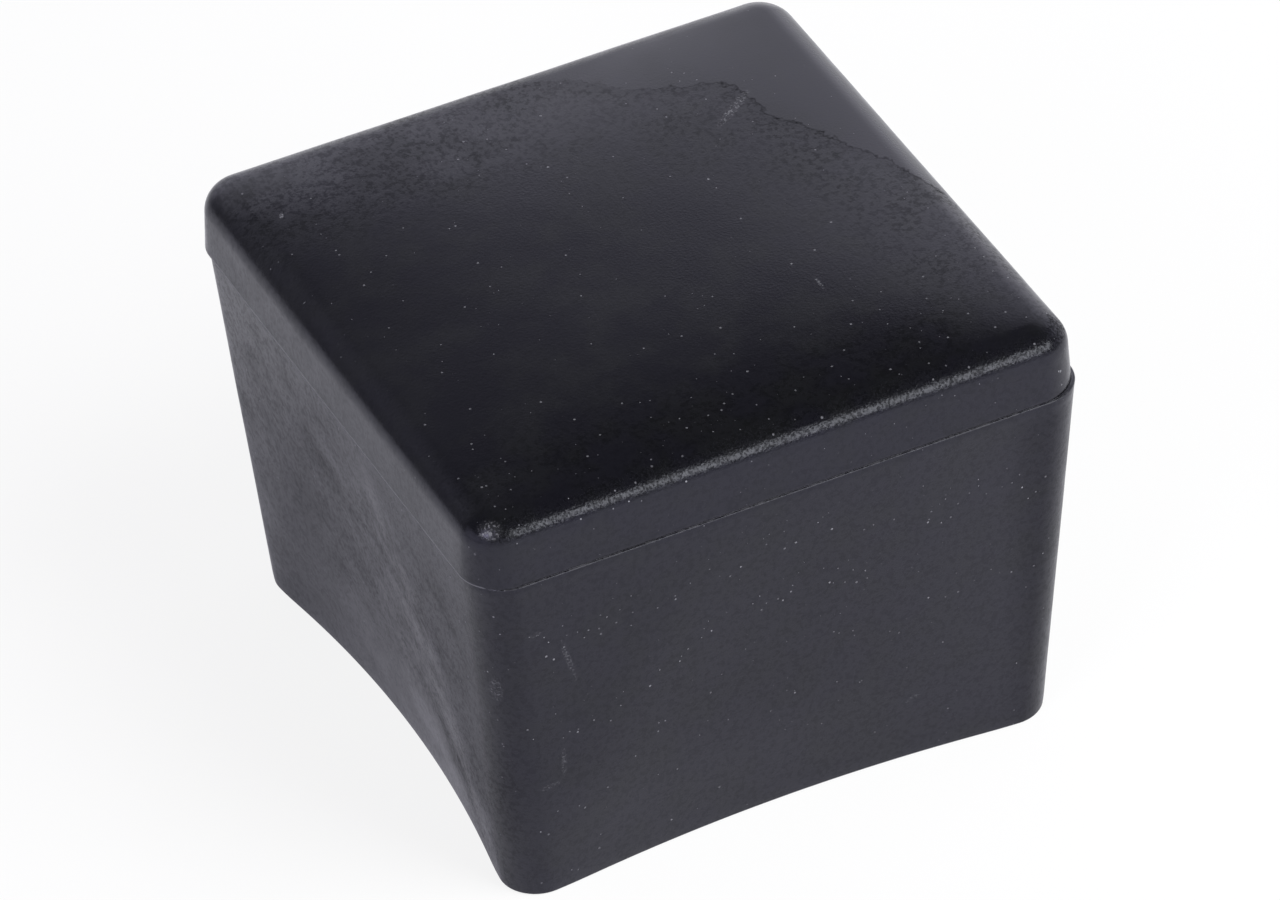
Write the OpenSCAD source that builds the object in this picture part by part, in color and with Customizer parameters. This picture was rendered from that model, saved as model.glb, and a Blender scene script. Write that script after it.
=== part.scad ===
// Square leg cap: a soft slip-on foot for a square tube leg, moulded in one piece.
// It stands mouth down. The origin is the middle of the mouth and +Z points to the closed sole.

/* [Leg] */
// Side of the square tube that the cap fits
tube_side = 40; // [25:1:60]
// Plan corner radius of the cavity, a little under that of the tube
socket_corner_r = 1.5; // [0.8:0.1:2.5]

/* [Walls] */
// Thickness of the skirt wall
wall = 2.5; // [1.8:0.1:3.5]
// Thickness of the closed end, from the cavity floor to the sole
sole_thick = 5.5; // [4:0.1:8]

/* [Skirt] */
// Whole height of the cap, from the mouth to the sole
cap_h = 34; // [26:0.5:50]
// How far each side of the skirt has come in at the mouth corners
mouth_inset = 1.95; // [0.5:0.05:2.5]
// Radius of the four upright corners
corner_r = 3; // [2.6:0.1:5]
// How far the left and right walls sag in at the middle of the mouth
sag_x = 1.7; // [0.5:0.1:2.5]
// How far the front and back walls sag in at the middle of the mouth
sag_y = 1.2; // [0.5:0.1:2.5]

/* [Sole band] */
// Height of the band above the parting line
band_h = 5.2; // [4:0.1:8]
// How far each side of the band comes in on its way up to the sole
band_draft = 0.15; // [0.05:0.05:0.5]
// Radius of the edge round the sole
sole_edge_r = 2.3; // [1:0.1:2.3]
// Sideways offset of the band on the skirt, where the mould halves meet
mould_shift_x = -0.24; // [-0.4:0.02:0]
// Front to back offset of the band on the skirt, where the mould halves meet
mould_shift_y = 0.12; // [0:0.02:0.4]

/* [Hidden] */
$fn = 128;
// Heights of the parting line and of the cavity floor
parting_z = cap_h - band_h;
floor_z = cap_h - sole_thick;
// Half widths of the outside at the parting line and at the mouth
parting_half = tube_side / 2 + wall;
mouth_half = parting_half - mouth_inset;
// How far a skirt wall moves out for each millimetre of height
skirt_slope = mouth_inset / parting_z;
// The sag has faded out this far below the parting line
sag_fade = 1;
// How far a cutter runs past what it cuts
over = wall;
// How far short of tangent a round meets the walls beside it, in degrees
ease = 4;
// The four sides, as turns about the upright axis
QUARTERS = [0, 90, 180, 270];

// Solid between two levels with four sloped walls and a sharp edge at each corner
module sloped_block(half_low, slope, h) {
    outline = [
        [-half_low, 0], [half_low, 0],
        [half_low + slope * h, h], [-half_low - slope * h, h]
    ];
    reach = half_low + slope * h + over;
    intersection() {
        rotate([90, 0, 0]) translate([0, 0, -reach]) linear_extrude(2 * reach) polygon(outline);
        rotate([90, 0, 90]) translate([0, 0, -reach]) linear_extrude(2 * reach) polygon(outline);
    }
}

// Section of what is cut off a sharp corner at the origin to round it to radius r.
// x points out of the corner, and the two walls stand square to half_turn each side of x.
// The round stops ease degrees short of each wall's direction, so it crosses the wall cleanly.
module corner_waste(r, half_turn) {
    end_y = r * sin(half_turn - ease);
    centre_x = -r * cos(half_turn - ease) - end_y * tan(half_turn);
    waste_y = end_y + r * tan(ease) * cos(half_turn);
    difference() {
        translate([centre_x, -waste_y]) square([over - centre_x, 2 * waste_y]);
        translate([centre_x, 0]) circle(r);
    }
}

// Sloped block whose four corners are rounded to one radius all the way up
module rounded_block(half_low, slope, r, h) {
    lean = atan(sqrt(2) * slope);
    difference() {
        sloped_block(half_low, slope, h);
        for (turn = QUARTERS)
            rotate([0, 0, turn]) translate([half_low, half_low, 0])
                rotate([0, 0, 45]) rotate([0, lean, 0]) translate([0, 0, -over])
                    linear_extrude(h + 2 * over) corner_waste(r, atan(cos(lean)));
    }
}

// Long round bar that leans on the right-hand wall of a block and presses a sag into it.
// It bites depth deep at the middle of the mouth and runs out span_half to each side of it.
module sag_bar(half_low, span_half, depth) {
    bar_r = (span_half * span_half + depth * depth) / (2 * depth);
    lean = atan(skirt_slope + depth / (parting_z - sag_fade));
    translate([half_low - depth, 0, 0]) rotate([0, lean, 0])
        translate([bar_r, 0, -over]) cylinder(r = bar_r, h = cap_h + 2 * over, $fn = 360);
}

// Rounded block that leans out with the skirt and sags in on all four sides towards the mouth
module sagged_block(half_low, r, h) {
    difference() {
        rounded_block(half_low, skirt_slope, r, h);
        for (side = [0, 180])
            rotate([0, 0, side]) sag_bar(half_low, half_low - r, sag_x);
        for (side = [90, 270])
            rotate([0, 0, side]) sag_bar(half_low, half_low - r, sag_y);
    }
}

// Outside of the skirt, from the mouth up to the parting line
module skirt() {
    sagged_block(mouth_half, corner_r, parting_z);
}

// Hollow that takes the tube, from the mouth up to the cavity floor
module socket() {
    sagged_block(mouth_half - wall, socket_corner_r, floor_z);
}

// Half section of the band, from a corner's axis out: leaning wall, round edge, flat sole
module band_section() {
    lean = atan(band_draft / band_h);
    top_x = corner_r - band_draft;
    difference() {
        polygon([[0, 0], [corner_r, 0], [top_x, band_h], [0, band_h]]);
        translate([top_x, band_h]) rotate((90 + lean) / 2) corner_waste(sole_edge_r, (90 - lean) / 2);
    }
}

// Band and sole: a slab with leaning sides and a round edge, laid out from its four corner axes
module band() {
    axis_half = parting_half - corner_r;
    translate([mould_shift_x, mould_shift_y, parting_z]) {
        translate([-axis_half, -axis_half, 0]) cube([2 * axis_half, 2 * axis_half, band_h]);
        for (turn = QUARTERS)
            rotate([0, 0, turn]) {
                translate([axis_half, axis_half, 0]) rotate_extrude(angle = 90) band_section();
                translate([axis_half, axis_half, 0]) rotate([90, 0, 0])
                    linear_extrude(2 * axis_half) band_section();
            }
    }
}

module leg_cap() {
    color([0.16, 0.16, 0.18]) difference() {
        union() {
            skirt();
            band();
        }
        socket();
    }
}

leg_cap();
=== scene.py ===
"""Square leg cap: the soft black moulding, its finish, and the plain studio it stands in."""

import logging
import math
from dataclasses import dataclass, field
from enum import Enum
from functools import reduce
from operator import add, mul
from typing import Any, Sequence

import bpy
import numpy as np
from mathutils import Matrix, Vector, noise


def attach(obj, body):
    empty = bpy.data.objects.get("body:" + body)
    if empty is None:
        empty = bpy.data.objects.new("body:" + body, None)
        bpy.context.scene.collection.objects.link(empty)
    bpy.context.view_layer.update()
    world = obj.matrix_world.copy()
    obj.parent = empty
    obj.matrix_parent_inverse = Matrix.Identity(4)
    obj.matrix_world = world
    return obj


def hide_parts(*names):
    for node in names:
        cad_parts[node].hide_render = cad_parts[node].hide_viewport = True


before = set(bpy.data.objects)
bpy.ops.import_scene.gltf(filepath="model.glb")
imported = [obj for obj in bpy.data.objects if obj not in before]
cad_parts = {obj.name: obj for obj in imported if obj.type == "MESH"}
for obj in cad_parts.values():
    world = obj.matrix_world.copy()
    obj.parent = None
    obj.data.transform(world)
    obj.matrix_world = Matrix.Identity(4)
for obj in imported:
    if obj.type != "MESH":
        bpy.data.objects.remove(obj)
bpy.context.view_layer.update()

MM = 0.001
CAP_NODE = "leg_cap"
WHITE = (1.0, 1.0, 1.0, 1.0)
log = logging.getLogger("leg_cap")

Colour = tuple[float, float, float, float]
Place = tuple[float, float, float]
Span = tuple[float, float]


# ---------------------------------------------------------------- shader wiring


class Op(Enum):
    """What a Math or a Vector Math node works out."""

    ADD = "ADD"
    SUBTRACT = "SUBTRACT"
    MULTIPLY = "MULTIPLY"
    DIVIDE = "DIVIDE"
    POWER = "POWER"
    ABSOLUTE = "ABSOLUTE"
    MULTIPLY_ADD = "MULTIPLY_ADD"
    SCALE = "SCALE"
    LENGTH = "LENGTH"
    DOT = "DOT_PRODUCT"
    NORMALIZE = "NORMALIZE"


@dataclass(frozen=True)
class Cloud:
    """One cloudy noise: its grain in millimetres, its octaves, and the weight of the finer ones."""

    grain: float
    detail: float
    roughness: float


class Wire:
    """One output socket in a shader. Operators on it add the nodes that do the sum."""

    def __init__(self, board: "Board", socket: bpy.types.NodeSocket) -> None:
        """Keeps the socket and the board that its nodes go on.

        Args:
            board: The board that makes the nodes.
            socket: The output socket that this wire leaves.
        """
        self.board = board
        self.socket = socket

    def __add__(self, other: "Wire | float") -> "Wire":
        """Sum."""
        return self.board.maths(Op.ADD, self, other)

    def __radd__(self, other: float) -> "Wire":
        """Sum, with the number first."""
        return self.board.maths(Op.ADD, other, self)

    def __sub__(self, other: "Wire | float") -> "Wire":
        """Difference."""
        return self.board.maths(Op.SUBTRACT, self, other)

    def __rsub__(self, other: float) -> "Wire":
        """Difference, with the number first."""
        return self.board.maths(Op.SUBTRACT, other, self)

    def __mul__(self, other: "Wire | float") -> "Wire":
        """Product."""
        return self.board.maths(Op.MULTIPLY, self, other)

    def __rmul__(self, other: float) -> "Wire":
        """Product, with the number first."""
        return self.board.maths(Op.MULTIPLY, other, self)

    def __truediv__(self, other: "Wire | float") -> "Wire":
        """Quotient."""
        return self.board.maths(Op.DIVIDE, self, other)

    def __pow__(self, other: "Wire | float") -> "Wire":
        """Power."""
        return self.board.maths(Op.POWER, self, other)

    def __abs__(self) -> "Wire":
        """Size without sign."""
        return self.board.maths(Op.ABSOLUTE, self)


Feed = Wire | float | Sequence[float]


class Board:
    """The node tree of one material or world.

    A Mix node has sockets of the same name for every kind of value, so colours go by number.
    An oval mask is full up to its core, a share of its half size.
    """

    mix_sockets: tuple[int, ...] = (0, 6, 7)
    mix_output: int = 2
    oval_core: float = 0.4

    def __init__(self, owner: Any) -> None:
        """Clears the owner's tree and takes it over.

        Args:
            owner: The material or world whose nodes are laid out.
        """
        owner.use_nodes = True
        self.tree = owner.node_tree
        self.tree.nodes.clear()

    def node(self, kind: str, settings: dict[str, Any],
             feeds: dict[Any, Feed]) -> bpy.types.Node:
        """Makes any node: its settings first, then what goes into its sockets.

        Args:
            kind: The node's type, without the ShaderNode prefix.
            settings: Attributes such as an operation.
            feeds: A wire or a plain value for each socket, by name or by number.

        Returns:
            The new node.
        """
        made = self.tree.nodes.new("ShaderNode" + kind)
        for name, value in settings.items():
            setattr(made, name, value.value if isinstance(value, Enum) else value)
        for key, value in feeds.items():
            socket = made.inputs[key]
            if isinstance(value, Wire):
                self.tree.links.new(value.socket, socket)
            else:
                socket.default_value = value
        return made

    def wire(self, kind: str, settings: dict[str, Any], feeds: dict[Any, Feed],
             out: Any = 0) -> Wire:
        """Makes a node and returns one of its outputs.

        Args:
            kind: The node's type, without the ShaderNode prefix.
            settings: The node's settings.
            feeds: What goes into its sockets.
            out: The output's name or number.

        Returns:
            The wire that leaves that output.
        """
        return Wire(self, self.node(kind, settings, feeds).outputs[out])

    def maths(self, operation: Op, *terms: Wire | float) -> Wire:
        """Adds a Math node over the terms.

        Args:
            operation: The Math node's operation.
            terms: Its inputs, in order.

        Returns:
            The result.
        """
        return self.wire("Math", {"operation": operation}, dict(enumerate(terms)))

    def vector(self, operation: Op, *terms: Feed, out: Any = 0) -> Wire:
        """Adds a Vector Math node over the terms.

        Args:
            operation: The node's operation.
            terms: Its inputs, in order.
            out: The output's name or number.

        Returns:
            The result.
        """
        return self.wire("VectorMath", {"operation": operation}, dict(enumerate(terms)), out)

    def clamp(self, value: Wire) -> Wire:
        """Value kept between 0 and 1."""
        return self.wire("Clamp", {}, {"Value": value})

    def ramp(self, value: Wire, low: float, high: float, top: float = 1.0) -> Wire:
        """Smooth step from 0 at low to its top at high.

        Args:
            value: What is stepped.
            low: Where the step starts; above high for a step down.
            high: Where the step ends.
            top: What it reaches.

        Returns:
            A mask from 0 to the top.
        """
        return self.wire("MapRange", {"interpolation_type": "SMOOTHSTEP"},
                         {"Value": value, "From Min": low, "From Max": high, "To Max": top})

    def blend(self, factor: Wire, first: Feed, second: Feed) -> Wire:
        """Mixes two colours.

        Args:
            factor: 0 gives the first colour and 1 the second.
            first: The first colour.
            second: The second colour.

        Returns:
            The mixed colour.
        """
        feeds = dict(zip(self.mix_sockets, (factor, first, second)))
        return self.wire("Mix", {"data_type": "RGBA"}, feeds, self.mix_output)

    def point_mm(self) -> Wire:
        """Place on the object, in millimetres."""
        place = self.wire("TexCoord", {}, {}, "Object")
        return self.wire("VectorMath", {"operation": Op.SCALE}, {0: place, "Scale": 1.0 / MM})

    def split(self, vector: Wire) -> tuple[Wire, Wire, Wire]:
        """The three parts of a vector."""
        parts = self.node("SeparateXYZ", {}, {0: vector})
        return tuple(Wire(self, output) for output in parts.outputs)

    def less(self, vector: Wire, centre: Sequence[float]) -> Wire:
        """A vector measured from a centre."""
        return self.vector(Op.SUBTRACT, vector, centre)

    def length(self, vector: Wire) -> Wire:
        """Length of a vector."""
        return self.vector(Op.LENGTH, vector, out="Value")

    def oval(self, place: Wire, centre: Sequence[float], turn: Sequence[float],
             half: Sequence[float], strength: float) -> Wire:
        """Soft-edged oval mask.

        Args:
            place: Place in millimetres.
            centre: Middle of the oval.
            turn: How the oval is turned about each axis, in radians.
            half: Half sizes of the oval.
            strength: Value of the mask well inside the oval.

        Returns:
            The strength well inside the oval and 0 outside.
        """
        if any(turn):
            shrunk = self.wire("Mapping", {"vector_type": "TEXTURE"}, {
                "Vector": place, "Location": centre, "Rotation": turn, "Scale": half,
            })
        else:
            shrunk = self.vector(Op.MULTIPLY_ADD, place, [1 / size for size in half],
                                 [-at / size for at, size in zip(centre, half)])
        return self.ramp(self.length(shrunk), 1.0, self.oval_core, strength)

    def moved(self, vector: Wire, turn: Sequence[float] = (0, 0, 0),
              stretch: Sequence[float] = (1, 1, 1)) -> Wire:
        """A vector stretched, then turned.

        Args:
            vector: What is mapped.
            turn: Turn about each axis, in radians.
            stretch: Factor along each axis.

        Returns:
            The mapped vector.
        """
        return self.wire("Mapping", {}, {"Vector": vector, "Rotation": turn, "Scale": stretch})

    def clouds(self, place: Wire, cloud: Cloud) -> Wire:
        """Cloudy noise from 0 to 1.

        Args:
            place: Place in millimetres.
            cloud: The clouds' size and make.

        Returns:
            The noise.
        """
        return self.wire("TexNoise", {}, {
            "Vector": place, "Scale": 1.0 / cloud.grain, "Detail": cloud.detail,
            "Roughness": cloud.roughness,
        })


# ---------------------------------------------------------------- sizes


@dataclass(frozen=True)
class CapSizes:
    """The cap's sizes, in metres, as the solid has them."""

    tube_side: float = 40 * MM
    socket_corner_r: float = 1.5 * MM
    wall: float = 2.5 * MM
    sole_thick: float = 5.5 * MM
    cap_h: float = 34 * MM
    mouth_inset: float = 1.95 * MM
    corner_r: float = 3 * MM
    sag_x: float = 1.7 * MM
    sag_y: float = 1.2 * MM
    band_h: float = 5.2 * MM
    band_draft: float = 0.15 * MM
    sole_edge_r: float = 2.3 * MM
    mould_shift: tuple[float, float] = (-0.24 * MM, 0.12 * MM)
    sag_fade: float = 1 * MM

    @property
    def parting_z(self) -> float:
        """Height of the parting line."""
        return self.cap_h - self.band_h

    @property
    def floor_z(self) -> float:
        """Height of the cavity floor."""
        return self.cap_h - self.sole_thick

    @property
    def parting_half(self) -> float:
        """Half width of the outside at the parting line."""
        return self.tube_side / 2 + self.wall

    @property
    def flat_half(self) -> float:
        """Half width of the sole inside its round edge."""
        return self.parting_half - self.band_draft - self.sole_edge_r

    @property
    def mouth_half(self) -> float:
        """Half width of the outside at the mouth's corners."""
        return self.parting_half - self.mouth_inset

    @property
    def mouth_span(self) -> float:
        """Half width of the outside that sags at the mouth."""
        return self.mouth_half - self.corner_r

    @property
    def inner_half(self) -> float:
        """Half width of the cavity at the mouth's corners."""
        return self.mouth_half - self.wall

    @property
    def inner_span(self) -> float:
        """Half width of the cavity wall that sags at the mouth."""
        return self.inner_half - self.socket_corner_r

    @property
    def slope(self) -> float:
        """How far a skirt wall moves out for each metre of height."""
        return self.mouth_inset / self.parting_z


# ---------------------------------------------------------------- the shell


@dataclass(frozen=True)
class Turn:
    """One closed turn round the shell: a rounded square at one height."""

    z: float
    half: float
    corner_r: float
    span_half: float = 0.0
    shift: tuple[float, float] = (0.0, 0.0)
    crown: float = 0.0


@dataclass
class CapShell:
    """The whole cap as one closed skin: sole, band, skirt, rim and cavity."""

    sizes: CapSizes = field(default_factory=CapSizes)
    side_steps: int = 44
    corner_steps: int = 14
    edge_steps: int = 16
    wall_steps: int = 46
    sole_steps: int = 26
    cavity_steps: int = 16
    floor_steps: int = 8
    lip_turns: int = 4
    rim_bend_turns: int = 6
    band_shares: tuple[float, ...] = (0.2, 0.4, 0.6, 0.8, 0.92)
    sole_roundness: float = 0.25
    crown: float = 0.15 * MM
    band_lip: float = 0.03 * MM
    skirt_lip: float = 0.12 * MM
    rim_round: float = 0.22 * MM
    sag_softness: float = 0.10 * MM
    sag_spread: float = 0.28 * MM
    ripple: float = 0.035 * MM
    ripple_wide: float = 7 * MM
    ripple_fine: float = 2.4 * MM
    ripple_fine_share: float = 0.16
    ripple_fade: float = 2 * MM

    def build(self) -> bpy.types.Object:
        """Builds the skin as one mesh object.

        Returns:
            The finished piece, smooth shaded.
        """
        turns = self.sole_turns() + self.edge_turns() + self.band_turns() + self.skirt_turns()
        turns += self.rim_turns() + self.cavity_turns()
        mesh = self.closed_mesh(np.array([self.ring(turn) for turn in turns]))
        self.add_ripple(mesh)
        for face in mesh.polygons:
            face.use_smooth = True
        piece = bpy.data.objects.new("cap_shell", mesh)
        bpy.context.scene.collection.objects.link(piece)
        return piece

    # -- turns, from the middle of the sole outwards, down, and up again inside

    def sole_turns(self) -> list[Turn]:
        """Turns over the flat of the sole, from near its middle to its round edge."""
        size = self.sizes
        flat_half = size.flat_half
        flat_r = size.corner_r - size.band_draft - size.sole_edge_r
        shares = np.linspace(0.0, 1.0, self.sole_steps + 1)[1:-1]
        return [
            Turn(size.cap_h, flat_half * share,
                 max(flat_r, self.sole_roundness * flat_half * (1 - share)) * share,
                 shift=size.mould_shift, crown=self.crown)
            for share in shares
        ]

    def edge_turns(self) -> list[Turn]:
        """Turns round the sole's edge, from flat to upright."""
        size = self.sizes
        turns = []
        for step in range(self.edge_steps + 1):
            angle = 0.5 * math.pi * step / self.edge_steps
            inset = size.band_draft + size.sole_edge_r * (1 - math.sin(angle))
            drop = size.sole_edge_r * (1 - math.cos(angle))
            turns.append(Turn(
                size.cap_h - drop, size.parting_half - inset, size.corner_r - inset,
                shift=size.mould_shift, crown=self.crown * math.cos(angle)))
        return turns

    def band_turns(self) -> list[Turn]:
        """Turns down the band to its lower lip at the parting line."""
        size = self.sizes
        wall_h = size.band_h - size.sole_edge_r
        lip = self.band_lip
        turns = []
        for share in self.band_shares:
            inset = size.band_draft * (1 - share)
            turns.append(Turn(
                size.cap_h - size.sole_edge_r - share * (wall_h - lip),
                size.parting_half - inset, size.corner_r - inset, shift=size.mould_shift))
        for angle in np.linspace(0, 0.5 * math.pi, self.lip_turns):
            inset = lip * (1 - math.cos(angle))
            turns.append(Turn(
                size.parting_z + lip * (1 - math.sin(angle)), size.parting_half - inset,
                size.corner_r - inset, shift=size.mould_shift))
        return turns

    def skirt_turns(self) -> list[Turn]:
        """Turns down the outside of the skirt, from its lip at the parting line to the rim."""
        size = self.sizes
        lip = self.skirt_lip
        span = size.mouth_span
        turns = []
        for angle in np.linspace(0.5 * math.pi, 0, self.lip_turns):
            inset = lip * (1 - math.cos(angle))
            turns.append(Turn(
                size.parting_z - lip * (1 - math.sin(angle)), size.parting_half - inset,
                size.corner_r - inset, span_half=span))
        top, bottom = size.parting_z - lip, self.rim_round
        for step in range(1, self.wall_steps):
            z = top + (bottom - top) * step / self.wall_steps
            turns.append(
                Turn(z, size.mouth_half + size.slope * z, size.corner_r, span_half=span))
        return turns

    def rim_turns(self) -> list[Turn]:
        """Turns over the rim of the mouth, from the outside to the inside."""
        size = self.sizes
        edge = self.rim_round
        turns = []
        for angle in np.linspace(0, 0.5 * math.pi, self.rim_bend_turns):
            inset = edge * (1 - math.cos(angle))
            turns.append(Turn(edge * (1 - math.sin(angle)), size.mouth_half - inset,
                              size.corner_r - inset, span_half=size.mouth_span))
        for angle in np.linspace(0.5 * math.pi, 0, self.rim_bend_turns):
            spread = edge * (1 - math.cos(angle))
            turns.append(Turn(edge * (1 - math.sin(angle)), size.inner_half + spread,
                              size.socket_corner_r + spread, span_half=size.inner_span))
        return turns

    def cavity_turns(self) -> list[Turn]:
        """Turns up the cavity wall and over its floor to the middle."""
        size = self.sizes
        turns = []
        for step in range(1, self.cavity_steps + 1):
            z = self.rim_round + (size.floor_z - self.rim_round) * step / self.cavity_steps
            turns.append(Turn(z, size.inner_half + size.slope * z, size.socket_corner_r,
                              span_half=size.inner_span))
        floor_half = size.inner_half + size.slope * size.floor_z
        for share in np.linspace(1.0, 0.0, self.floor_steps + 1)[1:-1]:
            turns.append(Turn(size.floor_z, floor_half * share, size.socket_corner_r * share))
        return turns

    # -- geometry of one turn

    def ring(self, turn: Turn) -> np.ndarray:
        """Points of one turn, going round from the right-hand side.

        Args:
            turn: The turn to lay out.

        Returns:
            An array of points, one row each.
        """
        straight = turn.half - turn.corner_r
        along = np.linspace(-1, 1, self.side_steps, endpoint=False) * straight
        bend = np.linspace(0, 0.5 * math.pi, self.corner_steps, endpoint=False)
        side = np.column_stack([np.full_like(along, turn.half), along])
        corner = straight + turn.corner_r * np.column_stack([np.cos(bend), np.sin(bend)])
        quarter = np.vstack([side, corner])
        points = np.vstack([quarter @ self.quarter_turn(count) for count in range(4)])
        if turn.span_half:
            points = self.sagged(points, turn)
        across, along = np.clip(np.abs(points.T) / self.sizes.flat_half, 0, 1)
        z = turn.z - turn.crown * (1 - (1 - across**2) * (1 - along**2))
        return np.column_stack([points + np.array(turn.shift), z])

    @staticmethod
    def quarter_turn(count: int) -> np.ndarray:
        """Matrix that turns row vectors by that many right angles."""
        cos, sin = (round(part(count * math.pi / 2)) for part in (math.cos, math.sin))
        return np.array([[cos, sin], [-sin, cos]], dtype=float)

    def sagged(self, points: np.ndarray, turn: Turn) -> np.ndarray:
        """Draws the middle of each side in, as the soft wall sags towards the mouth.

        Args:
            points: The turn's points in plan.
            turn: The turn they belong to.

        Returns:
            The moved points.
        """
        fade = 1 - turn.z / (self.sizes.parting_z - self.sizes.sag_fade)
        x, y = points.T
        in_x = self.sag_depth(y, self.sizes.sag_x, fade, turn.span_half)
        in_y = self.sag_depth(x, self.sizes.sag_y, fade, turn.span_half)
        return np.column_stack([x - in_x * x / turn.half, y - in_y * y / turn.half])

    def sag_depth(self, along: np.ndarray, depth: float, fade: float,
                  span_half: float) -> np.ndarray:
        """Depth of the sag along one wall, with its border softened.

        Args:
            along: Distance from the wall's middle.
            depth: Full depth at the middle of the mouth.
            fade: Share of the depth left at this height.
            span_half: Half of the width that sags at the mouth.

        Returns:
            How far each point comes in.
        """
        bar_r = (span_half**2 + depth**2) / (2 * depth)
        bite = depth * fade - along**2 / (2 * bar_r)
        soft = self.sag_softness + self.sag_spread * min(max(fade, 0.0), 1.0)
        eased = np.clip(bite + soft, 0.0, 2 * soft) ** 2 / (4 * soft)
        return np.where(bite > soft, bite, eased)

    @staticmethod
    def closed_mesh(rings: np.ndarray) -> bpy.types.Mesh:
        """Joins the turns into one closed mesh, with a point at each end.

        Args:
            rings: All turns, as turn, point and coordinate.

        Returns:
            The mesh, its faces looking out.
        """
        count, around = rings.shape[:2]
        first = rings[0].mean(axis=0)
        last = rings[-1].mean(axis=0)
        points = np.vstack([rings.reshape(-1, 3), first, last])
        here = np.arange(around)
        after = np.roll(here, -1)
        faces = []
        for row in range(count - 1):
            low, high = row * around, (row + 1) * around
            corners = [low + here, high + here, high + after, low + after]
            faces += np.column_stack(corners).tolist()
        start, end = count * around, count * around + 1
        faces += np.column_stack([np.full(around, start), here, after]).tolist()
        tail = (count - 1) * around
        faces += np.column_stack([np.full(around, end), tail + after, tail + here]).tolist()
        mesh = bpy.data.meshes.new("cap_shell")
        mesh.from_pydata(points.tolist(), [], faces)
        mesh.update()
        return mesh

    def add_ripple(self, mesh: bpy.types.Mesh) -> None:
        """Presses shallow moulding ripples into the skin, which never stand proud of the solid.

        Args:
            mesh: The closed skin.
        """
        count = len(mesh.vertices)
        places = np.empty(count * 3)
        normals = np.empty(count * 3)
        mesh.vertices.foreach_get("co", places)
        mesh.vertices.foreach_get("normal", normals)
        places, normals = places.reshape(-1, 3), normals.reshape(-1, 3)
        wide, fine = 1 / self.ripple_wide, 1 / self.ripple_fine
        depth = np.array([
            0.5 + 0.5 * noise.noise(Vector(place * wide))
            + self.ripple_fine_share * noise.noise(Vector(place * fine))
            for place in places
        ])
        hold = np.clip(places[:, 2] / self.ripple_fade, 0, 1)
        places -= normals * (np.clip(depth, 0, 1) * hold * self.ripple)[:, None]
        mesh.vertices.foreach_set("co", places.ravel())
        mesh.update()


# ---------------------------------------------------------------- finishes


class Axis(Enum):
    """A direction on the cap."""

    X = 0
    Y = 1
    Z = 2


X, Y, Z = Axis


@dataclass(frozen=True)
class Zone:
    """A part of the cap with soft borders.

    Each step names an axis and, in millimetres along it, where the mask is 0 and where it is 1.
    """

    steps: tuple[tuple[Axis, float, float], ...]

    def mask(self, board: Board, place: Wire) -> Wire:
        """Lays the zone out.

        Args:
            board: The board to work on.
            place: Place in millimetres.

        Returns:
            1 well inside the zone and 0 outside.
        """
        parts = board.split(place)
        return reduce(mul, (board.ramp(parts[axis.value], low, high)
                            for axis, low, high in self.steps))


@dataclass(frozen=True)
class Skin:
    """What the masks share: the board, the place in millimetres, and the clouds.

    The clouds come in three sizes. Patches are cut from the wide ones and spots from the fine.
    """

    board: Board
    place: Wire
    grain: Wire
    fine: Wire
    wide: Wire
    patches: Wire
    spots: Wire

    def within(self, zone: Zone) -> Wire:
        """Mask of a zone."""
        return zone.mask(self.board, self.place)


@dataclass(frozen=True)
class CurvedMark:
    """The jagged curve on the sole where its bloom ends, in millimetres."""

    centre: Place = (-23.1, -17.9, 34.0)
    radius: float = 46.2
    bulge_centre: Place = (13.4, 12.8, 34.0)
    bulge_span: Span = (5.5, 0.0)
    bulge: float = 2.0
    jags: Cloud = Cloud(2.2, 3.0, 0.75)
    jag: float = 2.6
    inside: Span = (0.05, -0.05)
    line: Span = (0.13, 0.05)
    line_zone: Zone = Zone(((Y, 18.0, 12.0),))

    def reach(self, skin: Skin) -> Wire:
        """Measures how far a place lies beyond the curve.

        Args:
            skin: What the masks share.

        Returns:
            The distance, below 0 on the bloomed side.
        """
        board, place = skin.board, skin.place
        jagged = (board.clouds(place, self.jags) - 0.5) * self.jag
        from_bulge = board.length(board.less(place, self.bulge_centre))
        near_bulge = board.ramp(from_bulge, *self.bulge_span)
        from_centre = board.length(board.less(place, self.centre))
        return from_centre - self.radius + jagged - near_bulge * self.bulge

    def drawn(self, skin: Skin, reach: Wire) -> Wire:
        """Mask of the line itself, away from its faint end.

        Args:
            skin: What the masks share.
            reach: Distance beyond the curve.

        Returns:
            1 on the line.
        """
        return skin.board.ramp(abs(reach), *self.line) * skin.within(self.line_zone)


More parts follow.
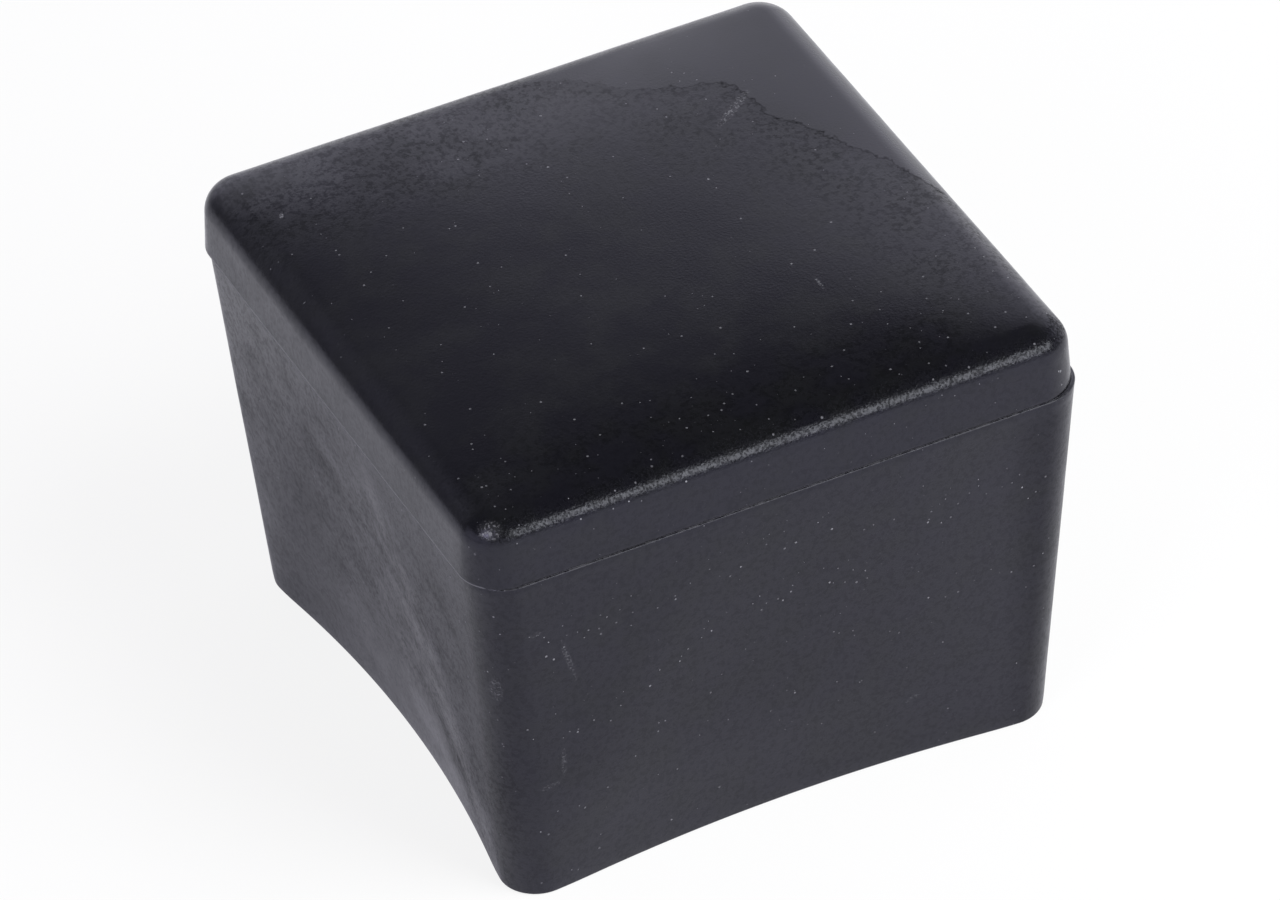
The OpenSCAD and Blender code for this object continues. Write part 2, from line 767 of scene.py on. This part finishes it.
@dataclass(frozen=True)
class SoleBloom:
    """The dull bloom on the sole, up to the curved mark. Each share is what one part adds."""

    mark: CurvedMark = CurvedMark()
    base: float = 0.02
    spots: float = 0.22
    patches: float = 0.14
    everywhere: float = 0.28
    near_mark: float = 0.55
    near_mark_span: Span = (-11.0, 0.0)
    near_edges: float = 0.9
    edges: tuple[Zone, ...] = (
        Zone(((X, 12.0, 18.0), (Y, -17.0, -9.0))),
        Zone(((Y, 8.0, 16.0), (X, 4.0, -4.0))),
        Zone(((Y, -11.0, -18.0), (X, 18.0, 12.0))),
    )
    brink: float = 0.09
    brink_span: Span = (-1.6, -0.1)
    front: float = 0.30
    front_zone: Zone = Zone(((X, 18.0, 12.5), (X, -18.0, -12.5), (Y, -14.0, -18.0)))
    front_fine: float = 0.25
    front_span: Span = (0.56, 0.64)
    line: float = 0.34

    def mask(self, skin: Skin) -> Wire:
        """Lays out the bloom and the dark line where it ends.

        Args:
            skin: What the masks share.

        Returns:
            A mask, 1 where the sole is dullest.
        """
        board = skin.board
        reach = self.mark.reach(skin)
        spread = self.everywhere + self.near_mark * board.ramp(reach, *self.near_mark_span)
        for edge in self.edges:
            spread = spread + self.near_edges * skin.within(edge)
        speckled = (self.spots + self.patches * skin.patches) * skin.spots * board.clamp(spread)
        brink = self.brink * board.ramp(reach, *self.brink_span)
        front_clouds = board.ramp(skin.wide + self.front_fine * skin.fine, *self.front_span)
        front = self.front * (skin.within(self.front_zone) * front_clouds)
        bloomed = board.ramp(reach, *self.mark.inside) * (self.base + speckled + brink + front)
        return bloomed + self.line * self.mark.drawn(skin, reach)


@dataclass(frozen=True)
class SideBloom:
    """The dull bloom on the four sides. Each share is what one part adds."""

    patches: float = 0.04
    spots: float = 0.13
    worn: float = 0.10
    worn_zone: Zone = Zone(((Z, 5.0, 12.0), (Z, 30.0, 27.0), (X, 14.0, 0.0)))
    far: float = 0.25
    far_zone: Zone = Zone(((X, 15.5, 19.0), (Y, -18.0, -19.5), (Z, 29.0, 27.0)))

    def mask(self, skin: Skin) -> Wire:
        """Lays out the bloom.

        Args:
            skin: What the masks share.

        Returns:
            A mask, 1 where the sides are dullest.
        """
        clouded = self.patches * skin.patches + self.spots * skin.spots
        return (clouded + self.worn * skin.within(self.worn_zone)
                + self.far * skin.within(self.far_zone))


@dataclass(frozen=True)
class SlantStreaks:
    """Dull flow streaks that slope down along the left side."""

    slope: float = math.radians(22.0)
    stretch: Place = (1.0, 0.45, 1.0)
    clouds: Cloud = Cloud(3.0, 3.0, 0.62)
    broad_span: Span = (0.38, 0.64)
    spot_span: Span = (0.45, 0.62)
    base: float = 0.04
    broad: float = 0.15
    spots: float = 0.07
    low: float = 0.46
    low_zone: Zone = Zone(((Z, 13.0, 3.0), (Y, 4.0, -7.0), (Y, -18.0, -12.0)))
    high_loss: float = 0.75
    high_zone: Zone = Zone(((Z, 21.0, 27.0), (Y, 6.0, -2.0)))
    pale_loss: float = 0.55
    pale_zone: Zone = Zone(((Z, 19.0, 13.0), (Y, 3.0, 10.0)))
    side_zone: Zone = Zone(((X, -19.5, -20.5),))
    corner_loss: float = 0.7
    corner_zone: Zone = Zone(((Y, -14.0, -19.0), (Z, 8.0, 16.0)))
    band: float = 0.35
    skirt_zone: Zone = Zone(((Z, 29.8, 28.3),))

    def mask(self, skin: Skin) -> Wire:
        """Lays out the streaks.

        Args:
            skin: What the masks share.

        Returns:
            A mask, 1 on the dullest streaks.
        """
        board = skin.board
        turned = board.moved(skin.place, turn=(-self.slope, 0, 0))
        long = board.moved(turned, stretch=self.stretch)
        broad = board.ramp(board.clouds(long, self.clouds), *self.broad_span)
        spots = board.ramp(skin.fine, *self.spot_span)
        kept = (1 - self.high_loss * skin.within(self.high_zone)
                - self.pale_loss * skin.within(self.pale_zone))
        dull = self.base + (self.broad * broad + self.spots * spots) * kept
        side = skin.within(self.side_zone) * (1 - self.corner_loss * skin.within(self.corner_zone))
        level = self.band + (1 - self.band) * skin.within(self.skirt_zone)
        return side * level * (dull + self.low * skin.within(self.low_zone))


@dataclass(frozen=True)
class Specks:
    """Single pale specks of dust, thickest near the front edge of the sole, in millimetres."""

    cell: float = 0.55
    smallest: float = 0.018
    growth: float = 0.072
    softness: float = 0.012
    usual: float = 0.36
    front: float = 0.60
    front_zone: Zone = Zone(((Y, -10.0, -20.0), (Z, 2.0, 28.0)))
    patchy: float = 0.8
    choice_span: Span = (0.01, 0.0)
    faintest: float = 0.3

    def mask(self, skin: Skin) -> Wire:
        """Scatters the specks.

        Args:
            skin: What the masks share.

        Returns:
            Up to 1 on a speck and 0 beside it.
        """
        board = skin.board
        cells = board.node("TexVoronoi", {}, {"Vector": skin.place, "Scale": 1 / self.cell})
        distance = Wire(board, cells.outputs["Distance"]) * self.cell
        kind, size, pale = board.split(Wire(board, cells.outputs["Color"]))
        radius = self.smallest + self.growth * size * size * size
        inside = board.ramp(distance - radius, self.softness, -self.softness)
        share = (self.usual + self.front * skin.within(self.front_zone)
                 + self.patchy * (skin.wide - 0.5))
        chosen = board.ramp(kind - share, *self.choice_span)
        return inside * chosen * (self.faintest + (1 - self.faintest) * pale * pale)


@dataclass(frozen=True)
class PaleSpot:
    """One faint pale oval, in millimetres and degrees: a worn spot that holds dust, or a painted
    highlight.
    """

    centre: Place
    half: Place
    strength: float
    turn: Place = (0.0, 0.0, 0.0)


@dataclass(frozen=True)
class ScuffsAndCornerGlint:
    """All the worn spots and bits of lint with the powdery dust that they hold, and a painted
    highlight on the sole's round front-left corner.
    """

    powder: float = 0.08
    powder_span: Span = (0.50, 0.66)
    spots: tuple[PaleSpot, ...] = (
        PaleSpot((12.9, 10.7, 34.0), (3.0, 0.45, 0.5), 0.55, (0.0, 0.0, 37.0)),
        PaleSpot((-19.0, 15.2, 34.0), (0.40, 0.22, 0.5), 2.0, (0.0, 0.0, 60.0)),
        PaleSpot((-21.6, 6.2, 33.9), (0.25, 0.10, 0.6), 2.0),
        PaleSpot((9.1, -9.4, 34.0), (0.16, 1.1, 0.5), 0.55),
        # Painted highlight: a pale patch that widens the key lamp's reflection on the sole's round
        # front-left corner.
        PaleSpot((-21.2, -21.3, 33.2), (1.1, 1.1, 0.7), 0.7),
        PaleSpot((-16.4, -21.5, 20.9), (0.30, 2.0, 2.7), 0.25, (0.0, -14.0, 0.0)),
        PaleSpot((-18.7, -21.5, 24.1), (0.55, 2.0, 0.28), 0.40),
        PaleSpot((-16.9, -21.5, 11.9), (0.28, 2.0, 1.7), 0.22),
        PaleSpot((-18.0, -21.5, 10.0), (1.2, 2.0, 0.28), 0.20, (0.0, -8.0, 0.0)),
        PaleSpot((-21.2, -21.0, 19.4), (0.45, 2.0, 1.7), 0.30),
        PaleSpot((-21.4, -20.6, 8.5), (0.55, 2.0, 0.8), 0.55),
        PaleSpot((9.5, -21.0, 5.6), (0.9, 2.0, 0.25), 0.20, (0.0, -25.0, 0.0)),
    )

    def mask(self, skin: Skin) -> Wire:
        """Lays out the spots.

        Args:
            skin: What the masks share.

        Returns:
            A mask, 1 where dust covers the skin and where the highlight is painted.
        """
        board = skin.board
        spots_and_glint = reduce(add, (
            board.oval(skin.place, spot.centre, [math.radians(angle) for angle in spot.turn],
                       spot.half, spot.strength)
            for spot in self.spots
        ))
        return spots_and_glint * (self.powder + board.ramp(skin.grain, *self.powder_span))


@dataclass(frozen=True)
class SeamDustAndHighlight:
    """Pale line along the parting line, partly dust and partly a painted highlight where its lip
    catches the light: an even line on the left side, broken elsewhere.
    """

    height: float = 28.74
    left_rise: float = 0.13
    width: Span = (0.08, 0.03)
    left: float = 0.36
    left_zone: Zone = Zone(((X, -21.6, -22.0),))
    broken: float = 0.15
    broken_span: Span = (0.34, 0.64)

    def mask(self, skin: Skin) -> Wire:
        """Lays out the line.

        Args:
            skin: What the masks share.

        Returns:
            A mask, 1 where dust lies and where the highlight is painted.
        """
        board = skin.board
        left = skin.within(self.left_zone)
        off = abs(board.split(skin.place)[2] - self.height - self.left_rise * left)
        broken = self.broken * board.ramp(skin.fine, *self.broken_span)
        # Painted highlight with dust: a pale line just along the parting line's lip.
        return board.ramp(off, *self.width) * (self.left * left + broken)


@dataclass(frozen=True)
class DustFilmAndCornerSheen:
    """A thin crusty layer of dust at the back of the sole, and at its back-left corner an even
    painted sheen that lightens it as a reflection would.
    """

    crust: float = 0.09
    crust_zone: Zone = Zone(((Y, 10.0, 18.0), (X, 2.0, -8.0)))
    wide_span: Span = (0.62, 0.40)
    fine_span: Span = (0.62, 0.42)
    # Painted sheen: an even pale patch at the sole's back-left corner that stands in for a lighter
    # reflection.
    corner: float = 0.12
    corner_zone: Zone = Zone(((Y, 16.0, 20.0), (X, -12.0, -18.0)))

    def mask(self, skin: Skin) -> Wire:
        """Lays out the dust and the painted sheen.

        Args:
            skin: What the masks share.

        Returns:
            A mask, 1 where dust lies and where the sheen is painted.
        """
        board = skin.board
        clouded = board.ramp(skin.wide, *self.wide_span) * board.ramp(skin.fine, *self.fine_span)
        crust = skin.within(self.crust_zone) * clouded
        return self.crust * crust + self.corner * skin.within(self.corner_zone)


@dataclass(frozen=True)
class Pillow:
    """The sole's faint cushion shape, given by leaning its normals, in millimetres."""

    half: float = 20.0
    round_rise: float = 0.3
    edge_rise: float = 0.78
    facing: Span = (0.80, 0.97)

    def normal(self, skin: Skin) -> Wire:
        """Leans the sole's normals outwards.

        Args:
            skin: What the masks share.

        Returns:
            The leaned normal.
        """
        board = skin.board
        normal = board.wire("NewGeometry", {}, {}, "Normal")
        facing = board.ramp(board.split(normal)[2], *self.facing)
        x, y, _ = board.split(skin.place)
        across, along = x / self.half, y / self.half
        lean = board.wire("CombineXYZ", {}, {
            0: facing * self.slope(board, across, along),
            1: facing * self.slope(board, along, across),
        })
        return board.vector(Op.NORMALIZE, board.vector(Op.ADD, normal, lean))

    def slope(self, board: Board, out: Wire, beside: Wire) -> Wire:
        """Slope of the pillow along one direction.

        Args:
            board: The board to work on.
            out: Place along that direction, -1 to 1 over the sole.
            beside: Place across it, -1 to 1 over the sole.

        Returns:
            The slope, 0 in the middle.
        """
        round_part = out * (1 - board.clamp(beside**2.0)) * (2 * self.round_rise)
        edge_part = out * out * out * (1 - 0.5 * board.clamp(beside**4.0)) * (4 * self.edge_rise)
        return (round_part + edge_part) / self.half


@dataclass(frozen=True)
class BlackRubber:
    """Soft black moulding: finely grained, mottled by bloom, streaked on one side and dusted, with
    painted highlights and a painted sheen in the pale dust colour.
    """

    black: Colour = (0.0038, 0.0037, 0.0054, 1.0)
    bloom: Colour = (0.0050, 0.0052, 0.0056, 1.0)
    bloom_span: Span = (0.35, 0.70)
    # The pale dust colour also paints the highlights along the parting line and on the front-left
    # corner, and the sheen at the sole's back-left corner.
    dust: Colour = (0.20, 0.20, 0.22, 1.0)
    sheen_tint: Colour = (0.80, 0.80, 1.0, 1.0)
    ior: float = 1.5
    smooth: float = 0.16
    rough: float = 0.24
    dust_and_sheen_rough: float = 0.3
    grain: Cloud = Cloud(0.17, 2.0, 0.6)
    fine: Cloud = Cloud(0.42, 3.0, 0.75)
    wide: Cloud = Cloud(3.6, 2.0, 0.6)
    patch_span: Span = (0.38, 0.60)
    spot_span: Span = (0.47, 0.60)
    grain_deep_mm: float = 0.010
    edge_grain_deep_mm: float = 0.012
    sole_zone: Zone = Zone(((Z, 33.0, 33.6),))
    edge_zone: Zone = Zone(((Z, 33.80, 33.45), (Z, 32.3, 32.7), (Y, -18.5, -20.0)))
    edge_end: Span = (-1.2, 0.0)
    stipple: float = 0.6
    stipple_span: Span = (0.42, 0.60)
    sole_bloom: SoleBloom = SoleBloom()
    side_bloom: SideBloom = SideBloom()
    streaks: SlantStreaks = SlantStreaks()
    specks: Specks = Specks()
    scuffs_and_glint: ScuffsAndCornerGlint = ScuffsAndCornerGlint()
    seam_dust_and_highlight: SeamDustAndHighlight = SeamDustAndHighlight()
    film_and_sheen: DustFilmAndCornerSheen = DustFilmAndCornerSheen()
    pillow: Pillow = Pillow()

    def make(self) -> bpy.types.Material:
        """Builds the material.

        Returns:
            The material, ready to assign.
        """
        material = bpy.data.materials.new("black_rubber")
        board = Board(material)
        skin = self.lay_skin(board)
        on_sole = skin.within(self.sole_zone)
        edge = self.front_edge(skin)
        bloom = board.ramp(skin.wide, *self.bloom_span)
        dust_and_sheen = self.dust_and_sheen(skin, on_sole)
        bump = board.wire("Bump", {}, {
            "Strength": 1.0, "Distance": MM, "Normal": self.pillow.normal(skin),
            "Height": skin.grain * (self.grain_deep_mm + self.edge_grain_deep_mm * edge),
        })
        # Pale colour where dust lies and where highlights and sheen are painted.
        colour = board.blend(dust_and_sheen, board.blend(bloom, self.black, self.bloom), self.dust)
        roughness = self.smooth + (self.rough - self.smooth) * bloom + self.dust_and_sheen_rough * dust_and_sheen
        clean = board.wire("BsdfPrincipled", {}, {
            "Base Color": colour, "Roughness": roughness, "IOR": self.ior, "Normal": bump,
            "Specular Tint": self.sheen_tint,
        })
        matt = board.wire("BsdfDiffuse", {}, {"Color": colour})
        both = board.wire("MixShader", {}, {0: self.dull(skin, on_sole, edge), 1: clean, 2: matt})
        board.node("OutputMaterial", {}, {"Surface": both})
        return material

    def lay_skin(self, board: Board) -> Skin:
        """Lays out what the masks share.

        Args:
            board: The board to work on.

        Returns:
            The place and the clouds over it.
        """
        place = board.point_mm()
        fine, wide = board.clouds(place, self.fine), board.clouds(place, self.wide)
        return Skin(
            board, place, grain=board.clouds(place, self.grain), fine=fine, wide=wide,
            patches=board.ramp(wide, *self.patch_span), spots=board.ramp(fine, *self.spot_span),
        )

    def front_edge(self, skin: Skin) -> Wire:
        """Mask of the round front edge of the sole, where the grain is coarser."""
        x, y, _ = skin.board.split(skin.place)
        return skin.within(self.edge_zone) * skin.board.ramp(x - y, *self.edge_end)

    def dull(self, skin: Skin, on_sole: Wire, edge: Wire) -> Wire:
        """Everything that takes the shine off: bloom, streaks and the stippled front edge.

        Args:
            skin: What the masks share.
            on_sole: Mask of the sole.
            edge: Mask of its round front edge.

        Returns:
            A mask, 1 where the skin is dullest.
        """
        bloom = (on_sole * self.sole_bloom.mask(skin)
                 + (1 - on_sole) * self.side_bloom.mask(skin))
        stipple = self.stipple * edge * skin.board.ramp(skin.grain, *self.stipple_span)
        return skin.board.clamp(bloom + self.streaks.mask(skin) + stipple)

    def dust_and_sheen(self, skin: Skin, on_sole: Wire) -> Wire:
        """Everything pale on the skin: specks, worn spots, lint and dust, and the painted
        highlights and sheen.

        Args:
            skin: What the masks share.
            on_sole: Mask of the sole.

        Returns:
            A mask, 1 where dust lies and where highlights and sheen are painted.
        """
        loose = self.specks.mask(skin) + self.scuffs_and_glint.mask(skin) + self.seam_dust_and_highlight.mask(skin)
        return skin.board.clamp(loose + on_sole * self.film_and_sheen.mask(skin))


# ---------------------------------------------------------------- the studio


@dataclass(frozen=True)
class Lamp:
    """A soft rectangular lamp: sizes in metres, roll in degrees.

    A lamp that isn't mirrored lights the scene but makes no reflection.
    """

    name: str
    place: Place
    aim: Place
    width: float
    height: float
    roll: float
    radiance: float
    mirrored: bool = True
    colour: tuple[float, float, float] = (1.0, 1.0, 1.0)


@dataclass
class Studio:
    """Pale floor and soft light."""

    floor_half: float = 3.0
    floor_drop: float = 0.02 * MM
    floor_colour: Colour = (0.88, 0.88, 0.89, 1.0)
    floor_white: float = 0.86
    floor_mirrored: float = 0.34
    sky_tint: Colour = (0.90, 0.893, 1.0, 1.0)
    sky_dark: float = 0.155
    sky_pale: float = 0.685
    sky_pale_up: Span = (0.803, 0.407)
    sky_pale_side: Span = (-0.109, 0.675)
    sky_front: float = 0.75
    sky_front_up: Span = (0.45, 0.25)
    sky_front_side: Span = (0.0, -0.45)
    sky_toward: Place = (0.639, 0.769, 0.0)
    lamps: tuple[Lamp, ...] = (
        Lamp("key", (0.31, -0.54, 0.335), (0.0, 0.0, 0.034), 0.48, 0.24, 0.0, 5.3,
             colour=(0.97, 1.0, 0.88)),
        Lamp("side", (-0.42, -0.28, 0.36), (0.0, 0.0, 0.034), 0.20, 0.20, 0.0, 6.6,
             colour=(0.91, 0.88, 1.0)),
        Lamp("window", (0.1064, 0.0707, 0.0854), (0.0, 0.0, 0.0854), 0.192, 0.146, -16.6, 0.32),
        Lamp("fill", (0.35, -0.45, 0.75), (0.0, 0.0, 0.0), 0.5, 0.5, 0.0, 8.8, mirrored=False),
    )

    def build(self) -> None:
        """Lays the floor, hangs the lamps and lights the world."""
        self.lay_floor()
        for lamp in self.lamps:
            self.hang(lamp)
        self.light_world()

    def lay_floor(self) -> None:
        """Lays one wide pale floor under the cap."""
        half = self.floor_half
        mesh = bpy.data.meshes.new("floor")
        low = -self.floor_drop
        corners = [(x * half, y * half, low) for x, y in ((-1, -1), (1, -1), (1, 1), (-1, 1))]
        mesh.from_pydata(corners, [], [(0, 1, 2, 3)])
        floor = bpy.data.objects.new("floor", mesh)
        bpy.context.scene.collection.objects.link(floor)
        material = bpy.data.materials.new("pale_floor")
        board = Board(material)
        paint = board.wire("BsdfDiffuse", {}, {"Color": self.floor_colour})
        path = board.node("LightPath", {}, {})
        seen = Wire(board, path.outputs["Is Camera Ray"])
        mirrored = Wire(board, path.outputs["Is Glossy Ray"]) * self.floor_mirrored
        colour = board.blend(seen, self.sky_tint, WHITE)
        white = board.wire("Emission", {}, {"Color": colour, "Strength": 1.0})
        lit = seen * self.floor_white + mirrored
        both = board.wire("MixShader", {}, {0: lit, 1: paint, 2: white})
        board.node("OutputMaterial", {}, {"Surface": both})
        floor.data.materials.append(material)

    def hang(self, lamp: Lamp) -> None:
        """Hangs one lamp.

        Args:
            lamp: The lamp's place, size and brightness.
        """
        data = bpy.data.lights.new(lamp.name, "AREA")
        data.shape = "RECTANGLE"
        data.size, data.size_y = lamp.width, lamp.height
        data.color = lamp.colour
        data.energy = lamp.radiance * math.pi * lamp.width * lamp.height
        holder = bpy.data.objects.new(lamp.name, data)
        away = Vector(lamp.place) - Vector(lamp.aim)
        facing = away.to_track_quat("Z", "Y").to_matrix().to_4x4()
        roll = Matrix.Rotation(math.radians(lamp.roll), 4, "Z")
        holder.matrix_world = Matrix.Translation(lamp.place) @ facing @ roll
        holder.visible_camera = False
        holder.visible_glossy = lamp.mirrored
        bpy.context.scene.collection.objects.link(holder)

    def light_world(self) -> None:
        """Lights the world: pale near the horizon, dim overhead, white to the camera."""
        world = bpy.data.worlds.new("studio")
        bpy.context.scene.world = world
        board = Board(world)
        toward = board.wire("TexCoord", {}, {}, "Generated")
        up = board.split(toward)[2]
        side = board.vector(Op.DOT, toward, self.sky_toward, out="Value")
        pale = board.ramp(up, *self.sky_pale_up) * board.ramp(side, *self.sky_pale_side)
        front = board.ramp(up, *self.sky_front_up) * board.ramp(side, *self.sky_front_side)
        level = self.sky_dark + self.sky_pale * pale + self.sky_front * front
        soft = board.wire("Background", {}, {"Color": self.sky_tint, "Strength": level})
        plain = board.wire("Background", {}, {"Color": WHITE, "Strength": 1.0})
        seen = board.wire("LightPath", {}, {}, "Is Camera Ray")
        both = board.wire("MixShader", {}, {0: seen, 1: soft, 2: plain})
        board.node("OutputWorld", {}, {"Surface": both})


@dataclass(frozen=True)
class Viewpoint:
    """Where the camera stands and how it is turned, in degrees and metres."""

    azimuth: float = -24.590
    elevation: float = 38.844
    roll: float = -3.094
    distance: float = 704.65 * MM
    aim: Place = (-0.500 * MM, -0.289 * MM, 17.046 * MM)
    focal_px: float = 10376.5
    image_w_px: float = 1280.0
    sensor: float = 36.0

    def place(self) -> bpy.types.Object:
        """Places the camera and makes it the scene's own.

        Returns:
            The camera.
        """
        az, el, roll = (math.radians(a) for a in (self.azimuth, self.elevation, self.roll))
        flat = math.cos(el)
        back = Vector((math.sin(az) * flat, -math.cos(az) * flat, math.sin(el)))
        level = Vector((math.cos(az), math.sin(az), 0.0))
        upright = back.cross(level)
        right = level * math.cos(roll) + upright * math.sin(roll)
        up = upright * math.cos(roll) - level * math.sin(roll)
        spot = Vector(self.aim) + back * self.distance
        data = bpy.data.cameras.new("camera")
        data.sensor_width = self.sensor
        data.lens = self.focal_px / self.image_w_px * self.sensor
        camera = bpy.data.objects.new("camera", data)
        facing = Matrix((right, up, back)).transposed().to_4x4()
        camera.matrix_world = Matrix.Translation(spot) @ facing
        bpy.context.scene.collection.objects.link(camera)
        bpy.context.scene.camera = camera
        return camera


# ---------------------------------------------------------------- all together


def main() -> None:
    """Builds the cap and its studio, and logs the cap's face count."""
    logging.basicConfig(level=logging.INFO, format="%(name)s: %(message)s")
    shell = CapShell().build()
    shell.data.materials.append(BlackRubber().make())
    log.info("%s: %d faces", shell.name, len(shell.data.polygons))
    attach(shell, "root")
    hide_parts(CAP_NODE)
    Studio().build()
    Viewpoint().place()
    bpy.context.scene.view_settings.view_transform = "Standard"
    log.info("sizes written")


if __name__ == "__main__":
    main()
